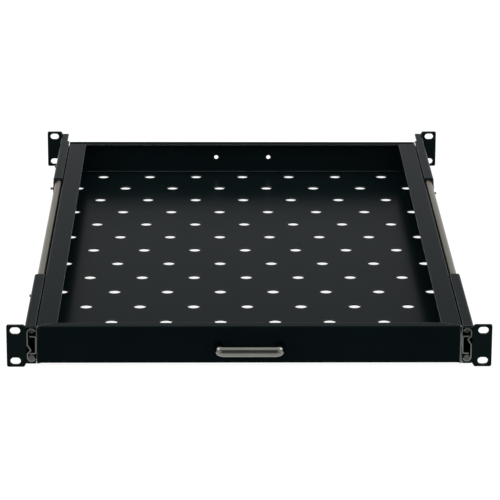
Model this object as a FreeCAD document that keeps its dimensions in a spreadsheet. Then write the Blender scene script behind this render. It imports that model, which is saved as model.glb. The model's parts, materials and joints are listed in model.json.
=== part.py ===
import FreeCAD, Part
import Sketcher
import math
import os
import re

# Pull-out shelf for a 19-inch rack: a perforated tray on two ball-bearing slides,
# each slide held between a front and a rear ear bracket.
# Millimetres. +X is right, +Y runs to the rear of the rack and +Z is up.
# The origin is the centre of the front ears' slot pattern, in their front face.

# ---------------------------------------------------------------- driving sizes
SIZES = {
    # Rack ears and brackets
    "body_width": (446.8, "width over the two bracket side plates"),
    "rail_distance": (743, "front face of the front ears to rear face of the rear ears"),
    "ear_width": (17.9, "reach of an ear beyond its side plate"),
    "ear_height": (44, "height of an ear"),
    "ear_corner": (2, "radius of an ear's outer corners"),
    "slot_inset": (8.75, "slot centre to the ear's outer edge"),
    "slot_spacing": (31.75, "height between the two slots of an ear"),
    "slot_length": (10.3, "slot length, end to end"),
    "slot_height": (7.1, "slot width"),
    "bracket_sheet": (2, "bracket sheet thickness"),
    "bracket_bend": (0.8, "inside bend radius of the brackets"),
    "flange_reach": (8.9, "bracket flange over the slide, from the side plate"),
    "flange_start": (3.4, "ear face to the start of the bracket flanges"),
    "narrow_length": (38, "narrow end of the rear bracket's flanges, from the ear face"),
    "narrow_reach": (6.6, "reach of the flanges there"),
    "flange_play": (0.3, "play between a bracket flange and the slide"),
    "front_reach": (172, "ear face to the free end of the front bracket's flanges"),
    "rear_overlap": (161, "length of slide held inside the rear bracket's flanges"),
    "nose_length": (12, "side plate beyond the flanges, with its corners cut"),
    # Slides
    "slide_front": (2, "set-back of the slides behind the ear face"),
    "slide_height": (35, "height of a slide"),
    "slide_thickness": (9.6, "thickness of a closed slide"),
    "slide_sheet": (1.2, "slide sheet thickness"),
    "ball_diameter": (6.35, "bearing balls"),
    "ball_gap": (0.25, "gap round a ball in its raceway"),
    "rib_start": (0.4, "height where the stiffening rib leaves the web, towards the middle"),
    "rib_peak": (5.6, "height of the rib's crest"),
    "rib_end": (8.6, "height where the rib returns to the web"),
    "rib_depth": (3.4, "depth of the rib"),
    "rib_round": (1, "radius of the rib's inside corners"),
    "lip_angle": (20, "degrees by which the fixed member's lip stops short of level"),
    "hook_angle": (25, "degrees of the moving member's curled edge"),
    "slide_travel": (500, "travel of the tray"),
    "cage_length": (160, "length of a ball cage strip"),
    "cage_sheet": (0.8, "thickness of a ball cage strip"),
    "cage_play": (0.3, "gap between a ball and its cage"),
    "cage_balls": (8, "balls in one cage strip"),
    "cage_end": (10, "first ball's centre to the end of its strip"),
    "stop_length": (6, "length of a raceway stop"),
    "stop_margin": (6, "gap between a raceway stop and the cage at full travel"),
    "bumper_length": (12, "length of the closing bumper"),
    "bumper_gap": (0.3, "gap between the bumper and the closed moving member"),
    "bumper_base": (1.2, "lower edge of the bumper above the slide's middle line"),
    "bumper_height": (10, "height of the closing bumper"),
    "bumper_play": (0.5, "gap between the bumper and the tray"),
    "stop_flat": (0.5, "shoulders of a raceway stop beyond the level of the balls"),
    "stop_foot": (1.6, "half the width of a raceway stop's foot"),
    "stop_foot_height": (2.2, "a raceway stop's foot from the level of the balls"),
    "stop_inset": (5, "set-back of the upper raceway stop"),
    "slide_bend": (0.8, "inside bend radius of the moving member"),
    "web_slot": (9, "length of the fixed member's web slots"),
    "web_slot_height": (4.5, "width of the fixed member's web slots"),
    "web_slot_first": (216, "first web slot behind the slide's front end"),
    "web_slot_pitch": (64, "web slot pitch"),
    "web_slots": (5, "web slots"),
    # Tray
    "tray_depth": (700, "front face to rear face of the tray"),
    "tray_height": (38.8, "height of the tray"),
    "tray_drop": (18.6, "underside of the tray below the ears' centre line"),
    "tray_sheet": (1.5, "tray sheet thickness"),
    "tray_bend": (1, "inside bend radius of the tray"),
    "side_flange": (20.6, "width of the tray's side flanges"),
    "front_flange": (11.5, "depth of the tray's front flange"),
    "rear_flange": (11, "depth of the tray's rear flange"),
    "seam": (1, "open seam between two flanges"),
    "perforation": (13, "diameter of the floor holes"),
    "pitch_across": (56.6, "floor hole pitch from side to side"),
    "pitch_along": (50, "floor hole row pitch"),
    "corner_rows": (3, "floor hole rows at the front whose outermost holes are left out"),
    "rear_hole": (5, "diameter of the two holes in the rear wall"),
    "rear_hole_centres": (64, "distance between the rear wall's holes"),
    "rear_hole_height": (19.6, "rear wall holes above the tray's underside"),
    # Handle
    "handle_centres": (61, "distance between the handle's screws"),
    "handle_height": (10.4, "height of the handle's bar"),
    "handle_thickness": (9, "thickness of the handle's bar"),
    "handle_reach": (24, "front of the handle to the tray's front face"),
    "handle_bend": (1.5, "inside bend radius of the handle"),
    "handle_edge": (4, "radius of the bar's long edges"),
    "handle_rise": (19.1, "handle's centre line above the tray's underside"),
    # Fasteners
    "screw_play": (0.25, "gap round a screw in a plain hole"),
    "thread_play": (0.05, "gap round a screw in a tapped hole"),
    "bracket_screw": (3, "thread of the bracket screws"),
    "bracket_head": (5.2, "head diameter of the bracket screws"),
    "bracket_head_height": (1.6, "head height of the bracket screws"),
    "bracket_screw_height": (3, "bracket screws from the slide's middle line"),
    "bracket_screw_tip": (4.3, "screw end beyond its bracket"),
    "front_screw": (42, "first front bracket screw behind the ear face"),
    "front_screw_pitch": (108, "front bracket screw pitch"),
    "rear_screw": (12, "first rear bracket screw behind the flanges' free end"),
    "rear_screw_pitch": (96, "rear bracket screw pitch"),
    "adjuster": (38, "length of the adjusting slots for the rear bracket's screws"),
    "screw_tip": (1.2, "tray screw end beyond the slide, and tap depth beyond a handle screw"),
    "tray_screw": (3.5, "thread of the screws that hold the tray"),
    "tray_screw_play": (0.2, "play round a tray screw"),
    "tray_head": (8, "head diameter of the tray screws"),
    "tray_head_height": (2.2, "head height of the tray screws"),
    "tray_screw_first": (60, "first tray screw behind the slide's front end"),
    "tray_screw_last": (70, "last tray screw before the tray's rear"),
    "tray_screws": (3, "screws on each side of the tray"),
    "handle_screw": (3, "thread of the handle screws"),
    "handle_head": (6, "head diameter of the handle screws"),
    "handle_head_height": (1.9, "head height of the handle screws"),
    "handle_screw_grip": (8, "length of screw inside a handle leg"),
}

# Sizes worked out from the driving sizes
DERIVED = {
    "wall": "body_width / 2 - bracket_sheet",
    "channel": "slide_height / 2 + flange_play",
    "slide_length": "tray_depth",
    "slide_rear": "slide_front + slide_length",
    "rear_free": "slide_rear - rear_overlap",
    "race": "ball_diameter / 2 + ball_gap",
    "race_back": "race + slide_sheet",
    "rib_slope": "atan(rib_depth / (rib_peak - rib_start))",
    "rib_return": "atan(rib_depth / (rib_end - rib_peak))",
    "ball_out": "slide_sheet + race",
    "ball_up": "slide_height / 2 - race_back",
    "moving_length": "slide_length - bumper_length - bumper_gap",
    "ball_pitch": "(cage_length - 2 * cage_end) / (cage_balls - 1)",
    "cage_front": "slide_front + stop_length + stop_margin + slide_travel / 2",
    "tray_half": "wall - slide_thickness",
    "tray_screw_pitch": "(tray_depth - tray_screw_last - slide_front - tray_screw_first) / (tray_screws - 1)",
    "hole_rows": "floor((tray_depth - perforation - 4 * tray_sheet) / pitch_along) + 1",
    "hole_columns": "floor((2 * tray_half - perforation - 4 * tray_sheet) / pitch_across) + 1",
    "tray_top": "tray_height - tray_drop",
}

doc = FreeCAD.newDocument("pull_out_rack_shelf")
sheet = doc.addObject("Spreadsheet::Sheet", "Sizes")
rows = [(name, str(value), note) for name, (value, note) in SIZES.items()]
rows += [(name, "=" + formula, "worked out") for name, formula in DERIVED.items()]
for row, (name, content, note) in enumerate(rows, start=1):
    sheet.set(f"A{row}", name)
    sheet.set(f"B{row}", content)
    sheet.setAlias(f"B{row}", name)
    sheet.set(f"C{row}", note)
doc.recompute()
ALIASES = {name for name, _, _ in rows}


# ---------------------------------------------------------------- helpers
def sized(formula):
    """Write a formula on the sheet's aliases as other objects read it."""
    return re.sub(r"[a-z_]+", lambda word: f"Sizes.{word[0]}" if word[0] in ALIASES else word[0], formula)


def size(formula):
    """The present value of a formula on the sheet's aliases."""
    return float(sheet.evalExpression(formula))


def tie(thing, **formulas):
    """Bind properties to formulas; a double underscore stands for a dot."""
    for path, formula in formulas.items():
        thing.setExpression(path.replace("__", "."), sized(formula))
    return thing


def new_body(name):
    body = doc.addObject("PartDesign::Body", name)
    body.Label = name
    return body


def sketch_on(body, name, plane, offset="0"):
    """A sketch on one of the body's origin planes, moved along the plane's normal."""
    sketch = body.newObject("Sketcher::SketchObject", name)
    support = next(item for item in body.Origin.OriginFeatures if item.Role == plane)
    sketch.AttachmentSupport = [(support, "")]
    sketch.MapMode = "FlatFace"
    tie(sketch, AttachmentOffset__Base__z=offset)
    return sketch


def draw_outline(sketch, corners):
    """Close a chain of lines and arcs through corners whose places are formulas.

    A corner is (x, y), or (x, y, radius, turn) where an arc runs to the next corner:
    turn is 1 when the arc runs counter-clockwise and -1 when it runs clockwise.
    """
    first = sketch.GeometryCount
    places = [FreeCAD.Vector(size(corner[0]), size(corner[1]), 0) for corner in corners]
    pieces, limits = [], []
    for index, corner in enumerate(corners):
        begin, finish = places[index], places[(index + 1) % len(places)]
        if len(corner) == 2:
            pieces.append(Part.LineSegment(begin, finish))
            limits.append((1, 2))
            continue
        radius, turn = size(corner[2]), corner[3]
        chord = finish - begin
        sagitta = radius - math.sqrt(max(radius ** 2 - (chord.Length / 2) ** 2, 0))
        outward = FreeCAD.Vector(chord.y, -chord.x, 0).normalize() * turn
        pieces.append(Part.Arc(begin, (begin + finish) / 2 + outward * sagitta, finish))
        limits.append((1, 2) if turn > 0 else (2, 1))
    sketch.addGeometry(pieces, False)
    rules, formulas = [], []
    for index, corner in enumerate(corners):
        this, after = first + index, first + (index + 1) % len(corners)
        following = (index + 1) % len(corners)
        rules.append(Sketcher.Constraint("Coincident", this, limits[index][1], after, limits[following][0]))
        formulas.append(None)
        for kind, formula in (("DistanceX", corner[0]), ("DistanceY", corner[1])):
            rules.append(Sketcher.Constraint(kind, -1, 1, this, limits[index][0], size(formula)))
            formulas.append(formula)
        if len(corner) > 2:
            rules.append(Sketcher.Constraint("Radius", this, size(corner[2])))
            formulas.append(corner[2])
    bind_rules(sketch, rules, formulas)


def draw_circles(sketch, circles):
    """Circles given as (x, y, diameter) formulas."""
    rules, formulas = [], []
    for x, y, diameter in circles:
        centre = FreeCAD.Vector(size(x), size(y), 0)
        index = sketch.addGeometry(Part.Circle(centre, FreeCAD.Vector(0, 0, 1), size(diameter) / 2), False)
        for kind, formula in (("DistanceX", x), ("DistanceY", y)):
            rules.append(Sketcher.Constraint(kind, -1, 1, index, 3, size(formula)))
            formulas.append(formula)
        rules.append(Sketcher.Constraint("Diameter", index, size(diameter)))
        formulas.append(diameter)
    bind_rules(sketch, rules, formulas)


def bind_rules(sketch, rules, formulas):
    start = sketch.ConstraintCount
    sketch.addConstraint(rules)
    for index, formula in enumerate(formulas):
        if formula is not None:
            sketch.setExpression(f"Constraints[{start + index}]", sized(formula))


def rectangle(low_x, low_y, high_x, high_y):
    return [(low_x, low_y), (high_x, low_y), (high_x, high_y), (low_x, high_y)]


def draw_slot(sketch, x, y, length, height):
    """A slot with round ends, long along the sketch's first axis."""
    reach, half = f"(({length}) - ({height})) / 2", f"({height}) / 2"
    middle, rise = FreeCAD.Vector(size(x), size(y), 0), FreeCAD.Vector(0, size(half), 0)
    shift, bulge = FreeCAD.Vector(size(reach), 0, 0), FreeCAD.Vector(size(half), 0, 0)
    right_low, right_high = middle + shift - rise, middle + shift + rise
    left_low, left_high = middle - shift - rise, middle - shift + rise
    first = sketch.GeometryCount
    sketch.addGeometry([
        Part.LineSegment(left_low, right_low),
        Part.Arc(right_low, middle + shift + bulge, right_high),
        Part.LineSegment(right_high, left_high),
        Part.Arc(left_high, middle - shift - bulge, left_low),
    ], False)
    lower, right, upper, left = range(first, first + 4)
    rules = [Sketcher.Constraint("Tangent", one, 2, other, 1)
             for one, other in ((lower, right), (right, upper), (upper, left), (left, lower))]
    rules.append(Sketcher.Constraint("Equal", left, right))
    formulas = [None] * len(rules)
    for index, place in ((right, f"({x}) + {reach}"), (left, f"({x}) - {reach}")):
        rules.append(Sketcher.Constraint("DistanceX", -1, 1, index, 3, size(place)))
        rules.append(Sketcher.Constraint("DistanceY", -1, 1, index, 3, size(y)))
        formulas += [place, y]
    rules.append(Sketcher.Constraint("Radius", right, size(half)))
    bind_rules(sketch, rules, formulas + [half])


def extrude(kind, body, name, sketch, length, backwards=False):
    feature = body.newObject(f"PartDesign::{kind}", name)
    feature.Profile = sketch
    feature.Reversed = backwards
    tie(feature, Length=length)
    sketch.Visibility = False
    return feature


def pad(body, name, sketch, length, backwards=False):
    return extrude("Pad", body, name, sketch, length, backwards)


def pocket(body, name, sketch, length, backwards=False):
    return extrude("Pocket", body, name, sketch, length, backwards)


def straight_edges(feature, test):
    """Names of the straight edges whose two ends, as X, Y, Z triples, pass a test."""
    names = []
    for index, edge in enumerate(feature.Shape.Edges, start=1):
        if edge.Curve.TypeId == "Part::GeomLine" and test(edge.Vertexes[0].Point, edge.Vertexes[-1].Point):
            names.append(f"Edge{index}")
    return names


def near(value, target):
    return abs(value - target) < 1e-4


def lies_on(begin, finish, **targets):
    """True when both ends have the given coordinates, such as X=3 or Z=0."""
    axis = {"X": 0, "Y": 1, "Z": 2}
    return all(near(end[axis[name]], target) for name, target in targets.items() for end in (begin, finish))


def round_edges(body, name, edges, radius):
    base = body.Tip
    feature = body.newObject("PartDesign::Fillet", name)
    feature.Base = (base, edges)
    tie(feature, Radius=radius)
    doc.recompute()
    return feature


def group(name, members):
    """Like pieces that share one node."""
    compound = doc.addObject("Part::Compound", name)
    compound.Label = name
    compound.Links = members
    return compound


def placed_copy(name, original, rotation=None, **place):
    """A copy of a piece at a place given by formulas for x, y and z."""
    link = doc.addObject("App::Link", name)
    link.LinkedObject = original
    if rotation is not None:
        link.Placement = FreeCAD.Placement(FreeCAD.Vector(), rotation)
    tie(link, **{f"Placement__Base__{axis}": formula for axis, formula in place.items()})
    return link


TURN_ROUND = FreeCAD.Rotation(FreeCAD.Vector(0, 1, 0), 180)
SIDES = (("left", -1), ("right", 1))


# ---------------------------------------------------------------- tray
def make_tray():
    body = new_body("tray")
    blank = sketch_on(body, "tray_blank", "XY_Plane", "-tray_drop")
    draw_outline(blank, rectangle("-tray_half", "0", "tray_half", "tray_depth"))
    pad(body, "tray_block", blank, "tray_height")

    inside = sketch_on(body, "tray_inside", "XY_Plane", "tray_top - tray_sheet")
    draw_outline(inside, rectangle("tray_sheet - tray_half", "tray_sheet", "tray_half - tray_sheet",
                                   "tray_depth - tray_sheet"))
    pocket(body, "tray_hollow", inside, "tray_height - 2 * tray_sheet")

    mouth = sketch_on(body, "tray_mouth", "XY_Plane", "tray_top")
    draw_outline(mouth, rectangle("side_flange - tray_half", "front_flange", "tray_half - side_flange",
                                  "tray_depth - rear_flange"))
    pocket(body, "tray_opening", mouth, "2 * tray_sheet")
    doc.recompute()

    half, depth = size("tray_half"), size("tray_depth")
    low, high, sheet_size = size("-tray_drop"), size("tray_top"), size("tray_sheet")

    def bends(side, front, rear, bottom, top):
        """Edges of a box of walls: its four uprights and its eight level folds."""
        def on_box(begin, finish):
            upright = abs(begin[0]) == abs(finish[0]) and near(abs(begin[0]), side)
            if upright and near(begin[1], finish[1]) and (near(begin[1], front) or near(begin[1], rear)):
                return near(min(begin[2], finish[2]), bottom) and near(max(begin[2], finish[2]), top)
            level = any(lies_on(begin, finish, Z=height) for height in (bottom, top))
            beside = any(lies_on(begin, finish, X=x) for x in (side, -side))
            across = any(lies_on(begin, finish, Y=y) for y in (front, rear))
            return level and (beside or across)
        return straight_edges(body.Tip, on_box)

    outer = bends(half, 0, depth, low, high)
    round_edges(body, "outside_bends", outer, "tray_bend + tray_sheet")
    inner = bends(half - sheet_size, sheet_size, depth - sheet_size, low + sheet_size, high - sheet_size)
    round_edges(body, "inside_bends", inner, "tray_bend")

    # Open seams: mitred at the front corners, square at the rear ones
    fold = "tray_sheet + tray_bend"
    seams = sketch_on(body, "flange_seams", "XY_Plane", "tray_top")
    for side in (-1, 1):
        edge, root = f"{side} * (tray_half - side_flange)", f"{side} * (tray_half - {fold})"
        back = "tray_depth - rear_flange"
        draw_outline(seams, [(edge, "front_flange - seam"), (edge, "front_flange + seam"),
                             (root, f"{fold} + seam"), (root, f"{fold} - seam")])
        draw_outline(seams, [(edge, f"{back} - seam"), (edge, back), (root, back), (root, f"{back} - seam")])
    pocket(body, "seam_cuts", seams, "2 * tray_sheet")

    perforate(body)

    fronts = sketch_on(body, "handle_hole_plan", "XZ_Plane")
    draw_circles(fronts, [(f"{side} * handle_centres / 2", "handle_rise - tray_drop",
                           "handle_screw + 2 * screw_play") for side in (-1, 1)])
    pocket(body, "handle_holes", fronts, "2 * tray_sheet")

    rears = sketch_on(body, "rear_hole_plan", "XZ_Plane", "-tray_depth")
    draw_circles(rears, [(f"{side} * rear_hole_centres / 2", "rear_hole_height - tray_drop", "rear_hole")
                         for side in (-1, 1)])
    pocket(body, "rear_holes", rears, "2 * tray_sheet", backwards=True)

    sides = sketch_on(body, "side_hole_plan", "YZ_Plane", "-tray_half")
    draw_circles(sides, [(place, "0", "tray_screw + 2 * tray_screw_play") for place in tray_screw_places()])
    pocket(body, "side_holes", sides, "2 * tray_half", backwards=True)
    return body


def perforate(body):
    """Round holes in the floor, every other row shifted by half a pitch, with whole front corners."""
    count_rows, longer = int(size("hole_rows")), int(size("hole_columns"))
    plan = sketch_on(body, "floor_hole_plan", "XY_Plane", "tray_sheet - tray_drop")
    circles = []
    for row in range(count_rows):
        columns = longer - row % 2
        along = f"tray_depth / 2 + ({row} - (hole_rows - 1) / 2) * pitch_along"
        spared = 1 if columns == longer and row < size("corner_rows") else 0
        for column in range(spared, columns - spared):
            circles.append((f"({column} - {(columns - 1) / 2}) * pitch_across", along, "perforation"))
    draw_circles(plan, circles)
    pocket(body, "floor_holes", plan, "2 * tray_sheet")


# ---------------------------------------------------------------- handle
def make_handle():
    body = new_body("handle")
    plan = sketch_on(body, "handle_plan", "XY_Plane", "handle_rise - tray_drop - handle_height / 2")
    outer, inner = "(handle_centres + handle_thickness) / 2", "(handle_centres - handle_thickness) / 2"
    grip, bend = "handle_thickness - handle_reach", "handle_bend + handle_thickness"
    tight = "handle_bend"
    draw_outline(plan, [
        (f"-({outer})", "0"),
        (f"-({outer})", f"{bend} - handle_reach", bend, 1),
        (f"{bend} - {outer}", "-handle_reach"),
        (f"{outer} - ({bend})", "-handle_reach", bend, 1),
        (outer, f"{bend} - handle_reach"),
        (outer, "0"),
        (inner, "0"),
        (inner, f"{grip} + {tight}", tight, -1),
        (f"{inner} - {tight}", grip),
        (f"{tight} - {inner}", grip, tight, -1),
        (f"-({inner})", f"{grip} + {tight}"),
        (f"-({inner})", "0"),
    ])
    pad(body, "handle_bow", plan, "handle_height")
    doc.recompute()
    long_edges = [f"Edge{index}" for index, edge in enumerate(body.Tip.Shape.Edges, start=1)
                  if near(edge.Vertexes[0].Point[2], edge.Vertexes[-1].Point[2])
                  and not lies_on(edge.Vertexes[0].Point, edge.Vertexes[-1].Point, Y=0)]
    round_edges(body, "handle_edges", long_edges, "min(handle_edge; 0.45 * handle_thickness)")
    taps = sketch_on(body, "handle_tap_plan", "XZ_Plane")
    draw_circles(taps, [(f"{side} * handle_centres / 2", "handle_rise - tray_drop",
                         "handle_screw + 2 * thread_play") for side in (-1, 1)])
    pocket(body, "handle_taps", taps, "handle_screw_grip + screw_tip", backwards=True)
    return body


# ---------------------------------------------------------------- brackets
def make_bracket(name, side, rear):
    """One ear bracket: ear, side plate and the two flanges that hold the slide."""
    body = new_body(name)
    wall, skin = f"{side} * wall", f"{side} * (wall + bracket_sheet)"
    edge = f"{side} * (wall + bracket_sheet + ear_width)"
    lip = f"{side} * (wall - flange_reach)"
    root = f"{side} * (wall - bracket_bend)"
    free = "rail_distance - rear_free" if rear else "front_reach"
    nose = f"{free} + nose_length"
    relief, top = "channel - bracket_bend", "channel + bracket_sheet"

    def along(distance):
        """A place behind the front ear's face, or in front of the rear ear's face."""
        return f"rail_distance - ({distance})" if rear else distance

    # Plan of the bend between the ear and the side plate
    outside, inside = "bracket_bend + bracket_sheet", "bracket_bend"
    bend_end = f"{side} * (wall + {outside})"
    turn = side if rear else -side
    bend = sketch_on(body, f"{name}_bend_plan", "XY_Plane", "-ear_height / 2")
    draw_outline(bend, [
        (edge, along("0")), (bend_end, along("0"), outside, turn),
        (wall, along(outside)), (wall, along("flange_start")),
        (skin, along("flange_start")), (skin, along(outside), inside, -turn),
        (bend_end, along("bracket_sheet")), (edge, along("bracket_sheet")),
    ])
    pad(body, f"{name}_bend", bend, "ear_height")

    plate = sketch_on(body, f"{name}_plate_plan", "YZ_Plane", wall)
    draw_outline(plate, [
        (along(outside), f"-({relief})"), (along(free), f"-({relief})"),
        (along(nose), f"nose_length - ({relief})"), (along(nose), f"{relief} - nose_length"),
        (along(free), relief), (along(outside), relief),
    ])
    pad(body, f"{name}_plate", plate, "bracket_sheet", backwards=side < 0)

    # The XZ plane's normal points to the front, so a place along Y changes its sign
    ear = sketch_on(body, f"{name}_ear_plan", "XZ_Plane", f"-({along('0')})")
    draw_outline(ear, rectangle(bend_end, "-ear_height / 2", edge, "ear_height / 2"))
    pad(body, f"{name}_ear", ear, "bracket_sheet", backwards=not rear)

    # Channel section, drawn from the lower flange's lip, round the back to the upper one
    channel = sketch_on(body, f"{name}_channel_plan", "XZ_Plane", f"-({along('flange_start')})")
    draw_outline(channel, [
        (lip, f"-({top})"),
        (root, f"-({top})", outside, side),
        (skin, f"-({relief})"),
        (skin, relief, outside, side),
        (root, top),
        (lip, top),
        (lip, "channel"),
        (root, "channel", inside, -side),
        (wall, relief),
        (wall, f"-({relief})", inside, -side),
        (root, "-channel"),
        (lip, "-channel"),
    ])
    pad(body, f"{name}_channel", channel, f"{free} - flange_start", backwards=not rear)
    if rear:
        narrow = sketch_on(body, f"{name}_narrow_plan", "XY_Plane", top)
        draw_outline(narrow, rectangle(lip, "rail_distance - narrow_length",
                                       f"{side} * (wall - narrow_reach)", "rail_distance - flange_start"))
        pocket(body, f"{name}_narrow", narrow, f"2 * ({top})")

    # The bend's ends are cut aslant, from the flanges to the ear's tips
    slants = sketch_on(body, f"{name}_slant_plan", "XZ_Plane", f"-({along('0')})")
    for sign in (-1, 1):
        draw_outline(slants, [(wall, f"{sign} * channel"), (bend_end, f"{sign} * ear_height / 2"),
                              (wall, f"{sign} * ear_height / 2")])
    pocket(body, f"{name}_slants", slants, "flange_start", backwards=rear)
    doc.recompute()

    x, tip = size(edge), size("ear_height / 2")
    corners = straight_edges(body.Tip, lambda begin, finish: lies_on(begin, finish, X=x, Z=tip)
                             or lies_on(begin, finish, X=x, Z=-tip))
    round_edges(body, f"{name}_ear_corners", corners, "ear_corner")

    slots = sketch_on(body, f"{name}_slot_plan", "XZ_Plane", f"-({along('0')})")
    for sign in (-1, 1):
        draw_slot(slots, f"{side} * (wall + bracket_sheet + ear_width - slot_inset)",
                  f"{sign} * slot_spacing / 2", "slot_length", "slot_height")
    pocket(body, f"{name}_slots", slots, "2 * bracket_sheet", backwards=rear)

    # The screws stand on the flat of the slide's web: above its rib on the left and
    # below it on the right, because one slide is the other turned round
    holes = sketch_on(body, f"{name}_tap_plan", "YZ_Plane", wall)
    draw_circles(holes, [(place, f"{-side} * bracket_screw_height", "bracket_screw + 2 * thread_play")
                         for place in (REAR_SCREWS if rear else FRONT_SCREWS)])
    pocket(body, f"{name}_taps", holes, "bracket_sheet", backwards=side > 0)
    return body


FRONT_SCREWS = ["front_screw", "front_screw + front_screw_pitch"]
REAR_SCREWS = ["rear_free + rear_screw", "rear_free + rear_screw + rear_screw_pitch"]


# ---------------------------------------------------------------- slides
def stand_slide(piece, side):
    """Put a piece drawn in the slide's own frame on its side of the rack.

    In that frame X runs from the side plate to the tray. The right-hand slide is the
    left-hand one turned half round about its length.
    """
    if side > 0:
        piece.Placement = FreeCAD.Placement(FreeCAD.Vector(), TURN_ROUND)
    tie(piece, Placement__Base__x=f"{side} * wall")


def make_fixed_member(name, side):
    """Cabinet member: ribbed web with a ball raceway curled at each edge."""
    body = new_body(name)
    level = [f"({radius}) * cos(lip_angle * 1 deg)" for radius in ("race", "race_back")]
    rise = [f"({radius}) * sin(lip_angle * 1 deg)" for radius in ("race", "race_back")]
    crest_lean, crest_turn = "(rib_slope - rib_return) / 2", "(rib_slope + rib_return) / 2"
    section = sketch_on(body, f"{name}_section", "XZ_Plane", "-slide_front")
    draw_outline(section, [
        ("0", "-ball_up"),
        ("0", "-rib_end"),
        ("rib_depth", "-rib_peak"),
        ("0", "-rib_start"),
        ("0", "ball_up", "race_back", -1),
        (f"ball_out + {level[1]}", f"ball_up + {rise[1]}"),
        (f"ball_out + {level[0]}", f"ball_up + {rise[0]}", "race", 1),
        ("slide_sheet", "ball_up"),
        ("slide_sheet", "slide_sheet * tan(rib_slope / 2) - rib_start"),
        (f"rib_depth + slide_sheet * cos({crest_lean}) / cos({crest_turn})",
         f"slide_sheet * sin({crest_lean}) / cos({crest_turn}) - rib_peak"),
        ("slide_sheet", "-rib_end - slide_sheet * tan(rib_return / 2)"),
        ("slide_sheet", "-ball_up", "race", 1),
        (f"ball_out + {level[0]}", f"-ball_up - {rise[0]}"),
        (f"ball_out + {level[1]}", f"-ball_up - {rise[1]}", "race_back", -1),
    ])
    pad(body, f"{name}_rail", section, "slide_length", backwards=True)
    doc.recompute()

    def along_slide(x, low, high):
        """Edges that run the slide's length at one X, between two heights."""
        return straight_edges(body.Tip, lambda begin, finish: near(begin[0], finish[0])
                              and near(begin[2], finish[2]) and not near(begin[1], finish[1])
                              and near(begin[0], x) and low < begin[2] < high)

    start, end = size("-rib_start + slide_sheet"), size("-rib_end - slide_sheet")
    depth, skin = size("rib_depth"), size("slide_sheet")
    crest = size(f"rib_depth + slide_sheet * cos({crest_lean}) / cos({crest_turn})")
    tight = along_slide(skin, end, start) + along_slide(depth, end, start)
    round_edges(body, f"{name}_rib_inside", tight, "rib_round")
    wide = along_slide(0, end, start) + along_slide(crest, end, start)
    round_edges(body, f"{name}_rib_outside", wide, "rib_round + slide_sheet")

    holes = sketch_on(body, f"{name}_hole_plan", "YZ_Plane")
    width = "bracket_screw + 2 * screw_play"
    draw_circles(holes, [(place, "bracket_screw_height", width) for place in FRONT_SCREWS])
    for place in REAR_SCREWS:
        draw_slot(holes, place, "bracket_screw_height", "adjuster", width)
    for index in range(int(size("web_slots"))):
        draw_slot(holes, f"slide_front + web_slot_first + {index} * web_slot_pitch",
                  "bracket_screw_height", "web_slot", "web_slot_height")
    pocket(body, f"{name}_holes", holes, "slide_sheet", backwards=True)
    stand_slide(body, side)
    return body


def make_moving_member(name, side):
    """Drawer member: a channel against the tray, its edges hooked under the balls."""
    body = new_body(name)
    high, low = "ball_up - race", "ball_up - race_back"
    corner, skin = "slide_thickness - slide_bend - slide_sheet", "slide_thickness - slide_sheet"
    hook = [(f"ball_out - ({radius}) * sin(hook_angle * 1 deg)",
             f"ball_up - ({radius}) * cos(hook_angle * 1 deg)") for radius in ("race", "race_back")]
    outside, inside = "slide_bend + slide_sheet", "slide_bend"
    section = sketch_on(body, f"{name}_section", "XZ_Plane", "-slide_front")
    draw_outline(section, [
        ("slide_thickness", f"{high} - ({outside})", outside, 1),
        (corner, high),
        ("ball_out", high, "race", -1),
        hook[0],
        (*hook[1], "race_back", 1),
        ("ball_out", low),
        (corner, low, inside, -1),
        (skin, f"{low} - {inside}"),
        (skin, f"{inside} - ({low})", inside, -1),
        (corner, f"-({low})"),
        ("ball_out", f"-({low})", "race_back", 1),
        (hook[1][0], f"-({hook[1][1]})"),
        (hook[0][0], f"-({hook[0][1]})", "race", -1),
        ("ball_out", f"-({high})"),
        (corner, f"-({high})", outside, 1),
        ("slide_thickness", f"{outside} - ({high})"),
    ])
    pad(body, f"{name}_rail", section, "moving_length", backwards=True)
    holes = sketch_on(body, f"{name}_hole_plan", "YZ_Plane", skin)
    draw_circles(holes, [(place, "0", "tray_screw + 2 * thread_play") for place in tray_screw_places()])
    pocket(body, f"{name}_holes", holes, "slide_sheet", backwards=True)
    stand_slide(body, side)
    return body


def tray_screw_places():
    return [f"slide_front + tray_screw_first + {index} * tray_screw_pitch"
            for index in range(int(size("tray_screws")))]


def make_cage(name, side):
    """Two comb-shaped strips that space the balls, above and below."""
    strips = []
    for label, sign in (("upper", 1), ("lower", -1)):
        body = new_body(f"{name}_{label}")
        plan = sketch_on(body, f"{name}_{label}_plan", "XY_Plane", f"{sign} * (ball_up - cage_play)")
        draw_outline(plan, rectangle("slide_sheet + cage_play", "cage_front",
                                     "slide_thickness - cage_play",
                                     "cage_front + cage_length"))
        pad(body, f"{name}_{label}_strip", plan, "cage_sheet", backwards=sign > 0)
        pockets = sketch_on(body, f"{name}_{label}_pockets", "XY_Plane", f"{sign} * (ball_up - cage_play)")
        draw_circles(pockets, [("ball_out", place, "ball_diameter + 2 * cage_play") for place in ball_places()])
        pocket(body, f"{name}_{label}_comb", pockets, "cage_sheet", backwards=sign < 0)
        strips.append(body)
    cage = group(name, strips)
    stand_slide(cage, side)
    return cage


def ball_places():
    return [f"cage_front + cage_end + {index} * ball_pitch" for index in range(int(size("cage_balls")))]


def make_balls(name, side):
    balls = []
    for sign in (1, -1):
        for place in ball_places():
            ball = doc.addObject("Part::Sphere", f"{name}_ball")
            tie(ball, Radius="ball_diameter / 2", Placement__Base__x="ball_out",
                Placement__Base__y=place, Placement__Base__z=f"{sign} * ball_up")
            balls.append(ball)
    balls = group(name, balls)
    stand_slide(balls, side)
    return balls


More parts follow.
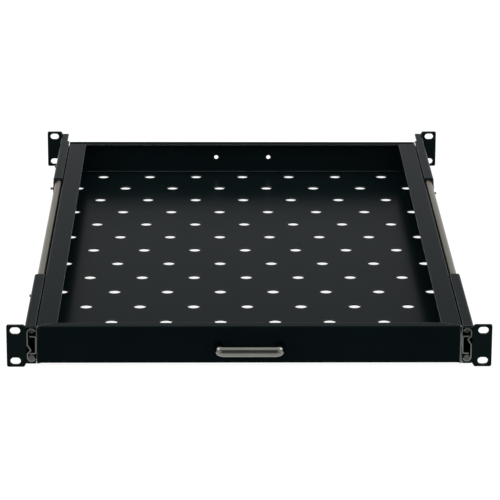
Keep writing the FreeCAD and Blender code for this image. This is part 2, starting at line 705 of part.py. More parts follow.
def make_raceway_stops(name, side):
    """Plugs at the front of both raceways, which keep the balls in.

    The lower one is flush with the slide's end, and the upper one stands back from it.
    """
    stops = []
    reach = "sqrt(race ^ 2 - stop_flat ^ 2)"
    for label, sign in (("upper", 1), ("lower", -1)):
        body = new_body(f"{name}_{label}")
        front = "slide_front + stop_inset" if sign == -side else "slide_front"
        section = sketch_on(body, f"{name}_{label}_section", "XZ_Plane", f"-({front})")
        level, foot = f"{sign} * (ball_up + stop_flat)", f"{sign} * (ball_up - stop_foot_height)"
        draw_outline(section, [(f"ball_out + {sign} * {reach}", level, "race", 1),
                               (f"ball_out - {sign} * {reach}", level),
                               (f"ball_out - {sign} * stop_foot", foot),
                               (f"ball_out + {sign} * stop_foot", foot)])
        pad(body, f"{name}_{label}_plug", section, "stop_length", backwards=True)
        stops.append(body)
    stops = group(name, stops)
    stand_slide(stops, side)
    return stops


def make_bumper(name, side):
    """Block at the rear of the fixed member, which the closed moving member meets."""
    body = new_body(name)
    section = sketch_on(body, f"{name}_section", "XZ_Plane", "-slide_rear")
    draw_outline(section, rectangle("slide_sheet", "bumper_base", "slide_thickness - bumper_play",
                                    "bumper_base + bumper_height"))
    pad(body, f"{name}_block", section, "bumper_length")
    doc.recompute()
    x = size("slide_thickness - bumper_play")
    edges = straight_edges(body.Tip, lambda begin, finish: lies_on(begin, finish, X=x))
    round_edges(body, f"{name}_edges", edges, "bumper_play")
    stand_slide(body, side)
    return body


# ---------------------------------------------------------------- fasteners
def make_screw(name, head, height, thread, length):
    """A pan-head screw along Z, with the underside of its head at the origin."""
    body = new_body(name)
    section = sketch_on(body, f"{name}_section", "XZ_Plane")
    draw_outline(section, [
        ("0", f"-({length})"), (f"{thread} / 2 - {thread} / 10", f"-({length})"),
        (f"{thread} / 2", f"{thread} / 10 - ({length})"), (f"{thread} / 2", "0"),
        (f"{head} / 2", "0"), (f"{head} / 2", f"{height} / 2"), (f"{head} / 3", height), ("0", height),
    ])
    turn = body.newObject("PartDesign::Revolution", f"{name}_turned")
    turn.Profile = section
    turn.ReferenceAxis = (section, ["V_Axis"])
    turn.Angle = 360
    return body


def turned(axis, angle):
    return FreeCAD.Rotation(FreeCAD.Vector(*axis), angle)


def make_fasteners():
    """Groups of screws, copied from one pattern of each."""
    grip = "slide_sheet + bracket_sheet + bracket_screw_tip"
    bracket_screw = make_screw("bracket_screw_pattern", "bracket_head", "bracket_head_height",
                               "bracket_screw", grip)
    tray_screw = make_screw("tray_screw_pattern", "tray_head", "tray_head_height", "tray_screw",
                            "tray_sheet + slide_sheet + screw_tip")
    handle_screw = make_screw("handle_screw_pattern", "handle_head", "handle_head_height",
                              "handle_screw", "tray_sheet + handle_screw_grip")
    doc.recompute()
    groups = []
    for label, side in SIDES:
        inward = turned((0, 1, 0), -90 * side)
        height = f"{-side} * bracket_screw_height"
        for end, places in (("front", FRONT_SCREWS), ("rear", REAR_SCREWS)):
            screws = [placed_copy(f"{end}_screw_{label}", bracket_screw, inward, y=place, z=height,
                                  x=f"{side} * (wall - slide_sheet)") for place in places]
            groups.append(group(f"{end}_bracket_screws_{label}", screws))
        screws = [placed_copy(f"tray_screw_{label}", tray_screw, inward, y=place,
                              x=f"{side} * (tray_half - tray_sheet)") for place in tray_screw_places()]
        groups.append(group(f"tray_screws_{label}", screws))
    screws = [placed_copy("handle_screw", handle_screw, turned((1, 0, 0), -90), y="tray_sheet",
                          x=f"{side} * handle_centres / 2", z="handle_rise - tray_drop") for side in (-1, 1)]
    groups.append(group("handle_screws", screws))
    return groups


# ---------------------------------------------------------------- assembly
def make_shelf():
    nodes = [make_tray(), make_handle()]
    for label, side in SIDES:
        nodes += [
            make_bracket(f"front_bracket_{label}", side, False),
            make_bracket(f"rear_bracket_{label}", side, True),
            make_fixed_member(f"slide_outer_{label}", side),
            make_moving_member(f"slide_inner_{label}", side),
            make_cage(f"ball_cage_{label}", side),
            make_balls(f"balls_{label}", side),
            make_raceway_stops(f"raceway_stops_{label}", side),
            make_bumper(f"slide_bumper_{label}", side),
        ]
    return nodes + make_fasteners()


def check_and_write(nodes):
    doc.recompute()
    for item in doc.Objects:
        if {"Invalid", "Error"} & set(item.State):
            raise RuntimeError(f"{item.Name} did not build: {item.State}")
    os.makedirs("parts", exist_ok=True)
    for node in nodes:
        if node.Shape.isNull() or not node.Shape.isValid():
            raise RuntimeError(f"{node.Label} has no valid shape")
        print(f"{node.Label}: {len(node.Shape.Solids)} solid(s), {node.Shape.Volume:.0f} cubic mm")
    for node in nodes:
        node.Shape.exportStep(os.path.join("parts", f"{node.Label}.step"))


check_and_write(make_shelf())
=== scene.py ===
"""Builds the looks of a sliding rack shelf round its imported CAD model."""
import json
import math

import bpy
from bpy.props import FloatProperty, FloatVectorProperty, IntProperty, PointerProperty
from bpy.types import Operator, Panel, PropertyGroup
from mathutils import Matrix, Vector


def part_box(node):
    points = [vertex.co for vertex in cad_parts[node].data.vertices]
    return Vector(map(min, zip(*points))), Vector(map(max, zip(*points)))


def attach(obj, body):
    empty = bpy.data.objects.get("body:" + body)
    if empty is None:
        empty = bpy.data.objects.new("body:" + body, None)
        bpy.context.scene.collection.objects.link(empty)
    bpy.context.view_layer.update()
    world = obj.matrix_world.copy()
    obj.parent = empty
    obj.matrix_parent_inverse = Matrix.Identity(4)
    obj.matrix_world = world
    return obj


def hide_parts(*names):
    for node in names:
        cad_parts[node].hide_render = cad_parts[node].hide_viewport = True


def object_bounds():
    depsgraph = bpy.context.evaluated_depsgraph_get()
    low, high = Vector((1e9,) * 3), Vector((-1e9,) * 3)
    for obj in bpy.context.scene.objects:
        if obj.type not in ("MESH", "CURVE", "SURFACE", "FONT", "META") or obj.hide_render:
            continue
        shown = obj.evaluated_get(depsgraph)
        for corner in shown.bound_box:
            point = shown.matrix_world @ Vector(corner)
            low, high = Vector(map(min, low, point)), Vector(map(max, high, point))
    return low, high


bl_info = {
    "name": "Sliding rack shelf",
    "version": (1, 0, 0),
    "blender": (4, 5, 0),
    "location": "3D View > Sidebar > Rack shelf",
    "description": "Dresses the packed model of a sliding rack shelf",
    "category": "Object",
}

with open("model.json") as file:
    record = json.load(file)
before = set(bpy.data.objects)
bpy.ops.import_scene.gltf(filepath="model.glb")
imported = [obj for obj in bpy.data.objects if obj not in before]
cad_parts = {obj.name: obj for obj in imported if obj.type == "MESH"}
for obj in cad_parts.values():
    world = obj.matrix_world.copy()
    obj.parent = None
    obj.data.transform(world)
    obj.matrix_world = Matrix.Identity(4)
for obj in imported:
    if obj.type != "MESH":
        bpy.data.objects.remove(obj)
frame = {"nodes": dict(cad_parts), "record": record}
CAD_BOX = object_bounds()
SIDES = ("left", "right")
ENDS = ("front", "rear")
SHELF_BASE = CAD_BOX[0][2]
WELD = 0.000005  # vertices nearer than this are one
ON_PLANE = 0.00002  # vertices nearer than this to a plane lie on it
PARTED = 0.002  # pieces of one node stand further apart than this
MOSTLY = 0.9  # share of a normal or a height from which it counts as the whole
FLAT = math.radians(0.4)  # faces that turn by less are one flat face
SHARP = math.radians(50)  # an edge that turns by more is sharp
ROUND = 0.5  # profile of a bevel that is part of a circle


def length(name, description, default):
    """A length property in metres."""
    return FloatProperty(name=name, description=description, default=default, min=0, unit="LENGTH",
                         precision=5)


def share(name, description, default, high=1.0):
    return FloatProperty(name=name, description=description, default=default, min=0, max=high)


def count(name, description, default):
    return IntProperty(name=name, description=description, default=default, min=3)


def colour(name, description, default):
    return FloatVectorProperty(name=name, description=description, default=default, subtype="COLOR",
                               min=0, max=1)


# ---------------------------------------------------------------- sizes and colours
class ShelfDetails(PropertyGroup):
    """Sizes of the details that the CAD model leaves out."""
    sheet_edge: length("Sheet edge", "Rounding of the coated sheet's edges", 0.00035)
    rail_edge: length("Rail edge", "Rounding of the slide members' edges", 0.0002)
    small_edge: length("Small edge", "Rounding of cages and stops", 0.00015)
    recess_wing: share("Recess wing", "Width of a cross recess's wings as a share of the head", 0.16)
    recess_span: share("Recess span", "Length of a cross recess as a share of the head", 0.56)
    recess_depth: share("Recess depth", "Depth of a cross recess as a share of the head's height", 0.62)
    recess_foot_length: share("Recess foot length", "Length of a cross recess at its foot", 0.45)
    recess_foot_width: share("Recess foot width", "Width of a cross recess's wings at its foot", 0.8)
    head_round: share("Head round", "Rounding of a screw's head as a share of its height", 0.55)
    thread_pitch: length("Thread pitch", "Pitch of the screws' threads", 0.0008)
    thread_root: share("Thread root", "Core of a thread as a share of its width", 0.88)
    handle_height: length("Handle height", "Height of the handle's bar", 0.0099)
    handle_thickness: length("Handle thickness", "Depth of the handle's bar", 0.009)
    handle_bend: length("Handle bend", "Inside bend radius of the handle", 0.0015)
    rear_flange: length("Rear flange", "Depth of the tray's duller rear flange", 0.0115)
    wall_fold: length("Wall fold", "Radius of the folds along the tray's front and rear", 0.0025)
    fold_steps: count("Fold steps", "Facets round a fold", 6)
    bend_steps: count("Bend steps", "Facets round a bend of the handle", 12)
    head_steps: count("Head steps", "Facets over the rounding of a screw's head", 5)
    ring_sides: count("Ring sides", "Sides of a turned piece", 48)
    ball_sides: count("Ball sides", "Facets round a ball", 24)
    ball_rings: count("Ball rings", "Facets from pole to pole of a ball", 14)


class ShelfColours(PropertyGroup):
    """Colours and gloss of the finishes."""
    coat: colour("Coat", "Black powder coat of the tray", (0.0022, 0.0043, 0.0049))
    bracket_coat: colour("Bracket coat", "Black powder coat of the brackets",
                         (0.0036, 0.0062, 0.0064))
    coat_gloss: share("Coat gloss", "Specular level of the powder coat", 0.0072)
    coat_roughness: share("Coat roughness", "Roughness of the powder coat", 0.22)
    coat_dullness: share("Coat dullness", "Roughness added on the tray's rear flange", 0.6)
    zinc: colour("Zinc", "Zinc plating of the slides", (0.094, 0.076, 0.051))
    passivation: colour("Passivation", "Greenish tinge of the zinc", (0.076, 0.08, 0.048))
    cut_edge: colour("Cut edge", "Sheared ends of the slides", (0.14, 0.156, 0.145))
    zinc_screw: colour("Screw zinc", "Zinc plating of the screws", (0.14, 0.14, 0.135))
    nickel: colour("Nickel", "Satin plating of the handle", (0.175, 0.175, 0.16))
    black_oxide: colour("Black oxide", "Blackened screws", (0.02, 0.02, 0.021))
    steel: colour("Steel", "Plain steel of the ball cages", (0.27, 0.265, 0.25))
    bearing: colour("Bearing steel", "Polished balls", (0.55, 0.55, 0.54))
    rubber: colour("Rubber", "Black rubber of the bumpers", (0.012, 0.012, 0.013))
    nylon: colour("Nylon", "Grey nylon of the raceway stops", (0.042, 0.044, 0.041))
    # Painted highlight: a lighter coat colour along the sheet's sharp edges stands in for the light
    # that rounded, coated edges catch
    edge_highlight: colour("Painted edge highlight", "Coat along the sheet's edges", (0.11, 0.115, 0.117))
    edge_highlight_reach: length("Edge highlight reach", "Width of the painted edge highlight along an edge", 0.0009)


class ShelfStudio(PropertyGroup):
    """Camera and lamps."""
    camera_place: FloatVectorProperty(name="Camera place", description="Where the camera stands",
                                      default=(-0.03679, -2.64822, 0.92723), subtype="TRANSLATION")
    pitch: FloatProperty(name="Pitch", description="How far the camera looks down",
                         default=0.302858, subtype="ANGLE")
    yaw: FloatProperty(name="Yaw", description="Turn of the camera to the left", default=-0.013956,
                       subtype="ANGLE")
    roll: FloatProperty(name="Roll", description="Tilt of the camera", default=-0.003502,
                        subtype="ANGLE")
    lens: FloatProperty(name="Lens", description="Focal length in millimetres", default=203.16)
    key_power: FloatProperty(name="Key power", description="Watts of the overhead lamp", default=28)
    fill_power: FloatProperty(name="Fill power", description="Watts of the side lamps", default=9)
    sky: share("Sky", "Strength of the world's light", 0.55, high=4)
    sky_ahead: share("Sky ahead", "Light added in front of the shelf, for each unit of sky", 3.2,
                     high=8)
    floor_paper: share("Floor paper", "Lightness of the floor for its bounced light", 0.2)
    floor_shade: share("Floor shade", "Lightness of the floor for the shadows on it", 0.12)
    floor_glow: share("Floor glow", "Strength of the floor's own white", 0.93)
    unlit: share("Unlit", "White left in reflections of the unlit parts of the studio", 0.15)


# Each lamp's name, place, target, size and the property that holds its power
LAMPS = (
    ("overhead", (0, 0.3, 1.9), (0, 0.3, 0), 3, "key_power"),
    ("left_side", (-1.5, 0.4, 1.3), (0, 0.35, 0), 0.8, "fill_power"),
    ("right_side", (1.5, 0.4, 1.3), (0, 0.35, 0), 0.8, "fill_power"),
)
# The thread's width as a share of the head's, and the head's height as a share of the whole length
BRACKET_SCREW = (0.577, 0.176)
TRAY_SCREW = (0.44, 0.36)
HANDLE_SCREW = (0.5, 0.167)


# ---------------------------------------------------------------- shader helpers
class Wire:
    """A shader value. Arithmetic on it adds Math nodes."""

    def __init__(self, finish, socket):
        self.finish = finish
        self.socket = socket

    def maths(self, operation, other=0.0):
        return self.finish.add("ShaderNodeMath", {"operation": operation}, {0: self, 1: other})

    def __add__(self, other):
        return self.maths("ADD", other)

    def __sub__(self, other):
        return self.maths("SUBTRACT", other)

    def __rsub__(self, other):
        return self.finish.add("ShaderNodeMath", {"operation": "SUBTRACT"}, {0: other, 1: self})

    def __mul__(self, other):
        return self.maths("MULTIPLY", other)


class Finish:
    """A material or a world, and the nodes that make it."""

    def __init__(self, owner):
        self.owner = owner
        owner.use_nodes = True
        self.tree = owner.node_tree
        self.tree.nodes.clear()

    def add(self, kind, settings=None, values=None, output=0):
        """Add a node: its settings first, then the values or links of its inputs."""
        node = self.tree.nodes.new(kind)
        for name, value in (settings or {}).items():
            setattr(node, name, value)
        for name, value in (values or {}).items():
            if isinstance(value, Wire):
                self.tree.links.new(value.socket, node.inputs[name])
            else:
                node.inputs[name].default_value = value
        return Wire(self, node.outputs[output]) if node.outputs else node

    def place(self, scale=(1, 1, 1)):
        """Object coordinates, stretched."""
        where = self.add("ShaderNodeTexCoord", output="Object")
        return self.add("ShaderNodeMapping", None, {"Vector": where, "Scale": scale})

    def noise(self, scale, detail=2.0, stretch=(1, 1, 1)):
        return self.add("ShaderNodeTexNoise", None,
                        {"Vector": self.place(stretch), "Scale": scale, "Detail": detail})

    def blend(self, amount, first, second):
        """A mix of two colours."""
        return self.add("ShaderNodeMix", {"data_type": "RGBA"}, {0: amount, 6: first, 7: second},
                        output=2)

    def relief(self, height, depth, strength):
        return self.add("ShaderNodeBump", None,
                        {"Height": height, "Distance": depth, "Strength": strength})

    def part(self, vector, axis):
        """One of a vector's three parts."""
        return self.add("ShaderNodeSeparateXYZ", None, {"Vector": vector}, output=axis)

    def clamped(self, value):
        """A value held between 0 and 1."""
        return self.add("ShaderNodeClamp", None, {"Value": value})

    def ramp(self, value, begin, slope):
        """0 up to where it begins, then up the slope to 1."""
        return self.clamped((value - begin) * slope)

    def edges(self, reach, flattest=0.93, steepness=12.0):
        """1 along the sharp edges and 0 from a distance on."""
        rounded = self.add("ShaderNodeBevel", {"samples": 6}, {"Radius": reach})
        plain = self.add("ShaderNodeNewGeometry", output="Normal")
        likeness = self.add("ShaderNodeVectorMath", {"operation": "DOT_PRODUCT"},
                            {0: rounded, 1: plain}, output="Value")
        return self.clamped((flattest - likeness) * steepness)

    def surface(self, **values):
        """The main shader, ended in the material's output."""
        named = {name.replace("_", " ").title().replace("Ior", "IOR"): value
                 for name, value in values.items()}
        shader = self.add("ShaderNodeBsdfPrincipled", None, named)
        self.add("ShaderNodeOutputMaterial", None, {"Surface": shader})
        return self.owner


def new_finish(name):
    return Finish(bpy.data.materials.new(name))


def opaque(tint, factor=1.0):
    """A colour property as a shader colour, made lighter or darker."""
    return (*(min(part * factor, 1.0) for part in tint), 1.0)


# ---------------------------------------------------------------- finishes
# Noise scales are in marks per metre, and a roughness varies by its spread.
def powder_coat(name, coat, dull_from, darkest=0.8, palest=1.25, spread=0.1):
    """Black coat, rough where it lies behind a place along the shelf."""
    colours = bpy.context.scene.shelf_colours
    finish = new_finish(name)
    grain = finish.noise(1500, detail=3)
    clouds = finish.noise(14, detail=4)
    tint = finish.blend(clouds, opaque(coat, darkest), opaque(coat, palest))
    # Painted highlight: the base colour is lightened along sharp edges, where rounded edges would catch
    # the light
    tint = finish.blend(finish.edges(colours.edge_highlight_reach), tint, opaque(colours.edge_highlight))
    dull = finish.ramp(finish.part(finish.place(), "Y"), dull_from, slope=2000.0)
    smoothest = colours.coat_roughness - spread / 2
    return finish.surface(base_color=tint,
                          roughness=clouds * spread + dull * colours.coat_dullness + smoothest,
                          specular_ior_level=colours.coat_gloss,
                          normal=finish.relief(grain, depth=0.00004, strength=0.6))


def zinc_plate(smoothest=0.24, spread=0.2):
    """Drawn zinc whose passivation turns from yellow to green along the slide."""
    colours = bpy.context.scene.shelf_colours
    finish = new_finish("zinc_plate")
    marks = finish.noise(1, detail=4, stretch=(1200, 9, 1200))
    drift = finish.noise(1, detail=3, stretch=(30, 11, 30))
    greenness = finish.ramp(drift, 0.35, slope=3.3)
    tint = finish.blend(greenness, opaque(colours.zinc), opaque(colours.passivation))
    normal = finish.add("ShaderNodeTexCoord", output="Normal")
    facing_along = finish.part(normal, "Y").maths("ABSOLUTE")
    ends = finish.ramp(facing_along, 0.8, slope=8.0)
    tint = finish.blend(ends, tint, opaque(colours.cut_edge))
    return finish.surface(base_color=tint, metallic=1.0, roughness=marks * spread + smoothest,
                          normal=finish.relief(marks, depth=0.000012, strength=0.5))


def plated(name, tint, stretch, roughness, drift=0.16, spread=0.2):
    """Bright metal with fine marks along the least stretched axis, its tint drifting a little."""
    finish = new_finish(name)
    marks = finish.noise(1, detail=4, stretch=stretch)
    clouds = finish.noise(35, detail=3)
    colour_mix = finish.blend(clouds, opaque(tint, 1 - drift), opaque(tint, 1 + drift))
    return finish.surface(base_color=colour_mix, metallic=1.0,
                          roughness=marks * spread + (roughness - spread / 2),
                          normal=finish.relief(marks, depth=0.000012, strength=0.5))


def moulded(name, tint, smoothest, spread=0.15):
    """Plastic or rubber with the grain of its mould."""
    finish = new_finish(name)
    grain = finish.noise(900, detail=2)
    return finish.surface(base_color=opaque(tint), roughness=grain * spread + smoothest,
                          normal=finish.relief(grain, depth=0.00003, strength=0.5))


def make_finishes():
    """Every finish of the shelf, by the record's slot names."""
    colours, details = bpy.context.scene.shelf_colours, bpy.context.scene.shelf_details
    return {
        "black_coat": powder_coat("bracket_powder_coat", colours.bracket_coat, CAD_BOX[1][1]),
        "tray_coat": powder_coat("tray_powder_coat", colours.coat,
                                 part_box("tray")[1][1] - details.rear_flange),
        "handle_nickel": plated("satin_nickel", colours.nickel, (40, 1400, 1400), 0.12),
        "zinc": zinc_plate(),
        "zinc_screw": plated("zinc_screw", colours.zinc_screw, (700, 700, 700), 0.32),
        "dark_screw": plated("black_oxide", colours.black_oxide, (700, 700, 700), 0.4),
        "cage_steel": plated("cage_steel", colours.steel, (500, 60, 500), 0.4),
        "ball_steel": plated("bearing_steel", colours.bearing, (90, 90, 90), 0.16, drift=0.04),
        "stop_nylon": moulded("grey_nylon", colours.nylon, 0.43),
        "black_rubber": moulded("black_rubber", colours.rubber, 0.68),
    }


FINISHES = {}


def finish_of(slot):
    if not FINISHES:
        FINISHES.update(make_finishes())
    return FINISHES[slot]


# ---------------------------------------------------------------- modelling helpers
def start(primitive, name, **settings):
    """Add a primitive with nothing else selected."""
    bpy.ops.object.select_all(action="DESELECT")
    primitive(**settings)
    piece = bpy.context.active_object
    piece.name = name
    piece.data.name = name
    return piece


def work_on(piece):
    bpy.ops.object.select_all(action="DESELECT")
    bpy.context.view_layer.objects.active = piece
    piece.select_set(True)


def pick(piece, kind, test):
    """Select the faces or edges that pass a test, and stay in edit mode."""
    bpy.ops.object.mode_set(mode="OBJECT")
    mesh = piece.data
    for items in (mesh.vertices, mesh.edges, mesh.polygons):
        items.foreach_set("select", [False] * len(items))
    for item in mesh.polygons if kind == "FACE" else mesh.edges:
        item.select = test(item)
    bpy.ops.object.mode_set(mode="EDIT")
    bpy.ops.mesh.select_mode(type=kind)


def apply_modifier(piece, kind, **settings):
    work_on(piece)
    modifier = piece.modifiers.new(kind.title(), kind)
    for name, value in settings.items():
        setattr(modifier, name, value)
    bpy.ops.object.modifier_apply(modifier=modifier.name)


def settle(piece, smooth_angle):
    """Back to object mode, with the place in the mesh and smooth curves."""
    if piece.mode == "EDIT":
        bpy.ops.object.mode_set(mode="OBJECT")
    work_on(piece)
    bpy.ops.object.transform_apply(location=True, rotation=True, scale=True)
    bpy.ops.object.shade_smooth_by_angle(angle=math.radians(smooth_angle))
    return piece


def dress(piece, nodes, finish=None):
    """Ride on the nodes' body, stand for the nodes and take their finish."""
    record = frame["record"]
    bodies = record["behaviour"]["bodies"]
    body = next(name for name, members in bodies.items() if nodes[0] in members)
    slot = next(part["material_slot"] for part in record["subparts"] if part["node"] == nodes[0])
    piece.data.materials.clear()
    piece.data.materials.append(finish_of(finish or slot))
    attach(piece, body)
    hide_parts(*nodes)
    return piece


def joined_copy(node, name):
    """The node's own surface, joined up and with its flat faces merged."""
    piece = bpy.data.objects.new(name, frame["nodes"][node].data.copy())
    bpy.context.scene.collection.objects.link(piece)
    work_on(piece)
    bpy.ops.mesh.customdata_custom_splitnormals_clear()
    bpy.ops.object.mode_set(mode="EDIT")
    bpy.ops.mesh.select_all(action="SELECT")
    bpy.ops.mesh.remove_doubles(threshold=WELD)
    bpy.ops.mesh.dissolve_limited(angle_limit=FLAT)
    bpy.ops.object.mode_set(mode="OBJECT")
    return piece


def round_walls(piece, node, radius):
    """Round the outer folds across a tray, at the top and foot of its front and rear walls."""
    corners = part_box(node)
    width = corners[1][0] - corners[0][0]

    def on_side(ends, axis):
        return any(all(abs(end[axis] - corner[axis]) < ON_PLANE for end in ends) for corner in corners)

    def on_fold(edge):
        ends = [piece.data.vertices[index].co for index in edge.vertices]
        return on_side(ends, 1) and on_side(ends, 2) and abs(ends[0].x - ends[1].x) > width / 2

    pick(piece, "EDGE", on_fold)
    bpy.ops.mesh.bevel(offset=radius, segments=bpy.context.scene.shelf_details.fold_steps,
                       profile=ROUND, affect="EDGES", loop_slide=False)
    bpy.ops.object.mode_set(mode="OBJECT")


def rounded_copy(node, edge, fold=0, finish=None):
    """The node with every sharp edge rounded, for a coated or rolled sheet."""
    piece = joined_copy(node, f"{node}_rounded")
    if fold:
        round_walls(piece, node, fold)
    apply_modifier(piece, "BEVEL", width=edge, segments=2, limit_method="ANGLE",
                   angle_limit=SHARP, use_clamp_overlap=True, miter_outer="MITER_SHARP")
    settle(piece, smooth_angle=55)
    apply_modifier(piece, "WEIGHTED_NORMAL", mode="FACE_AREA", weight=100, keep_sharp=True)
    return dress(piece, [node], finish)


def spans(node, *axes):
    """Boxes of a node's separate pieces, told apart by the gaps between them along some axes."""
    groups = [[vertex.co.copy() for vertex in frame["nodes"][node].data.vertices]]
    for axis in axes:
        parted = []
        for points in groups:
            points.sort(key=lambda point: point[axis])
            group = [points[0]]
            for before, after in zip(points, points[1:]):
                if after[axis] - before[axis] > PARTED:
                    parted.append(group)
                    group = []
                group.append(after)
            parted.append(group)
        groups = parted
    return [(Vector(map(min, zip(*points))), Vector(map(max, zip(*points)))) for points in groups]


def copies(pattern, name, places):
    """One mesh of a pattern's copies, each put in place by a matrix."""
    made = []
    for place in places:
        copy = bpy.data.objects.new(name, pattern.data.copy())
        copy.data.transform(place)
        bpy.context.scene.collection.objects.link(copy)
        made.append(copy)
    bpy.ops.object.select_all(action="DESELECT")
    for copy in made:
        copy.select_set(True)
    bpy.context.view_layer.objects.active = made[0]
    if len(made) > 1:
        bpy.ops.object.join()
    made[0].name = name
    return made[0]


def remove(piece):
    bpy.data.objects.remove(piece, do_unlink=True)


# ---------------------------------------------------------------- pieces
def build_handle():
    """Bow handle: an oval bar swept up one leg, round the bends and down the other."""
    details = bpy.context.scene.shelf_details
    low, high = (Vector(corner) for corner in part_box("handle"))
    thick, bend = details.handle_thickness, details.handle_thickness + details.handle_bend
    middle = low.z + details.handle_height / 2
    piece = start(bpy.ops.mesh.primitive_circle_add, "bow_handle", vertices=details.ring_sides,
                  radius=0.5, fill_type="NOTHING", location=(low.x + thick / 2, high.y, middle),
                  rotation=(math.pi / 2, 0, 0))
    piece.scale = (thick, details.handle_height, 1)
    bpy.ops.object.transform_apply(location=True, rotation=True, scale=True)
    pick(piece, "EDGE", lambda edge: True)
    leg, reach = high.y - low.y - bend, high.x - low.x - 2 * bend
    turn = {"steps": details.bend_steps, "angle": math.pi / 2, "axis": (0, 0, -1)}
    bpy.ops.mesh.extrude_edges_move(TRANSFORM_OT_translate={"value": (0, -leg, 0)})
    bpy.ops.mesh.spin(center=(low.x + bend, low.y + bend, middle), **turn)
    bpy.ops.mesh.extrude_edges_move(TRANSFORM_OT_translate={"value": (reach, 0, 0)})
    bpy.ops.mesh.spin(center=(high.x - bend, low.y + bend, middle), **turn)
    bpy.ops.mesh.extrude_edges_move(TRANSFORM_OT_translate={"value": (0, leg, 0)})
    bpy.ops.mesh.select_all(action="SELECT")
    bpy.ops.mesh.remove_doubles(threshold=WELD)
    bpy.ops.mesh.select_non_manifold()
    bpy.ops.mesh.edge_face_add()
    bpy.ops.mesh.select_all(action="SELECT")
    bpy.ops.mesh.normals_make_consistent(inside=False)
    return dress(settle(piece, smooth_angle=50), ["handle"])


def build_screw(name, head, height, thread, reach):
    """Pan-head screw along Z with a cross recess, the seat of its head at the origin."""
    details = bpy.context.scene.shelf_details
    piece = start(bpy.ops.mesh.primitive_cylinder_add, name, vertices=details.ring_sides,
                  radius=head / 2, depth=height, location=(0, 0, height / 2))
    bpy.ops.object.transform_apply(location=True, rotation=True, scale=True)
    pick(piece, "EDGE", lambda edge: all(piece.data.vertices[index].co.z > height * MOSTLY
                                         for index in edge.vertices))
    bpy.ops.mesh.bevel(offset=height * details.head_round, segments=details.head_steps,
                       profile=ROUND, affect="EDGES")
    pick(piece, "FACE", lambda face: face.normal.z < -MOSTLY)
    bpy.ops.mesh.inset(thickness=(head - thread) / 2)
    cut_thread(reach, details.thread_pitch, details.thread_root)
    span, wing = details.recess_span * head, details.recess_wing * head
    depth, above = details.recess_depth * height, height * 0.2
    for turn in (0, math.pi / 2):
        cutter = start(bpy.ops.mesh.primitive_cube_add, "recess", size=1,
                       location=(0, 0, height + (above - depth) / 2), rotation=(0, 0, turn))
        cutter.scale = (span, wing, depth + above)
        bpy.ops.object.transform_apply(location=True, rotation=True, scale=True)
        pick(cutter, "FACE", lambda face: face.normal.z < -MOSTLY)
        foot = (details.recess_foot_length, details.recess_foot_width)
        bpy.ops.transform.resize(value=(*(foot if turn == 0 else reversed(foot)), 1))
        bpy.ops.object.mode_set(mode="OBJECT")
        apply_modifier(piece, "BOOLEAN", operation="DIFFERENCE", object=cutter, solver="EXACT")
        remove(cutter)
    return piece


def cut_thread(reach, pitch, root):
    """Draw the chosen face out along -Z in turns that narrow to the root and widen again."""
    turns = max(int(reach / pitch), 1)
    half_turn = {"value": (0, 0, -reach / turns / 2)}
    for index in range(turns):
        bpy.ops.mesh.extrude_region_move(TRANSFORM_OT_translate=half_turn)
        bpy.ops.transform.resize(value=(root, root, 1))
        bpy.ops.mesh.extrude_region_move(TRANSFORM_OT_translate=half_turn)
        if index < turns - 1:
            bpy.ops.transform.resize(value=(1 / root, 1 / root, 1))
    bpy.ops.object.mode_set(mode="OBJECT")


def facing(direction, seat):
    """Turns a piece made along Z to a direction, with its origin at a seat."""
    turn = Vector((0, 0, 1)).rotation_difference(Vector(direction)).to_matrix().to_4x4()
    return Matrix.Translation(seat) @ turn


def middle_of(box):
    return (box[0] + box[1]) / 2


def side_sign(side):
    return -1 if side == "left" else 1


def build_screws(node, name, inward, shares):
    """Screws that stand for a node's screws, each with the size of its box."""
    thread_share, head_share = shares
    axis = 0 if inward[0] else 1
    boxes = spans(node, 1 - axis)
    low, high = boxes[0]
    whole = high[axis] - low[axis]
    head = high.z - low.z
    pattern = build_screw("screw_pattern", head, whole * head_share, head * thread_share,
                          whole * (1 - head_share))
    places = []
    for box in boxes:
        seat = middle_of(box)
        tip = box[1][axis] if inward[axis] > 0 else box[0][axis]
        seat[axis] = tip - inward[axis] * whole * head_share
        places.append(facing(inward, seat))
    piece = copies(pattern, name, places)
    remove(pattern)
    return dress(settle(piece, smooth_angle=35), [node])


# ---------------------------------------------------------------- operators
class SHELF_OT_finishes(Operator):
    """Give every CAD node its finish"""
    bl_idname = "shelf.add_finishes"
    bl_label = "Finishes"

    def execute(self, context):
        for part in frame["record"]["subparts"]:
            node = frame["nodes"][part["node"]]
            for slot in node.material_slots:
                slot.material = finish_of(part["material_slot"])
        return {"FINISHED"}


class SHELF_OT_tray(Operator):
    """Perforated tray with rounded, coated edges"""
    bl_idname = "shelf.add_tray"
    bl_label = "Tray"

    def execute(self, context):
        details = context.scene.shelf_details
        rounded_copy("tray", details.sheet_edge, details.wall_fold, "tray_coat")
        return {"FINISHED"}


class SHELF_OT_handle(Operator):
    """Bow handle on the front panel"""
    bl_idname = "shelf.add_handle"
    bl_label = "Handle"

    def execute(self, context):
        build_handle()
        return {"FINISHED"}


class SHELF_OT_brackets(Operator):
    """The four ear brackets"""
    bl_idname = "shelf.add_brackets"
    bl_label = "Brackets"

    def execute(self, context):
        for end in ENDS:
            for side in SIDES:
                rounded_copy(f"{end}_bracket_{side}", context.scene.shelf_details.sheet_edge)
        return {"FINISHED"}


class SHELF_OT_slides(Operator):
    """Outer and inner slide members"""
    bl_idname = "shelf.add_slides"
    bl_label = "Slides"

    def execute(self, context):
        for side in SIDES:
            for member in ("outer", "inner"):
                rounded_copy(f"slide_{member}_{side}", context.scene.shelf_details.rail_edge)
        return {"FINISHED"}


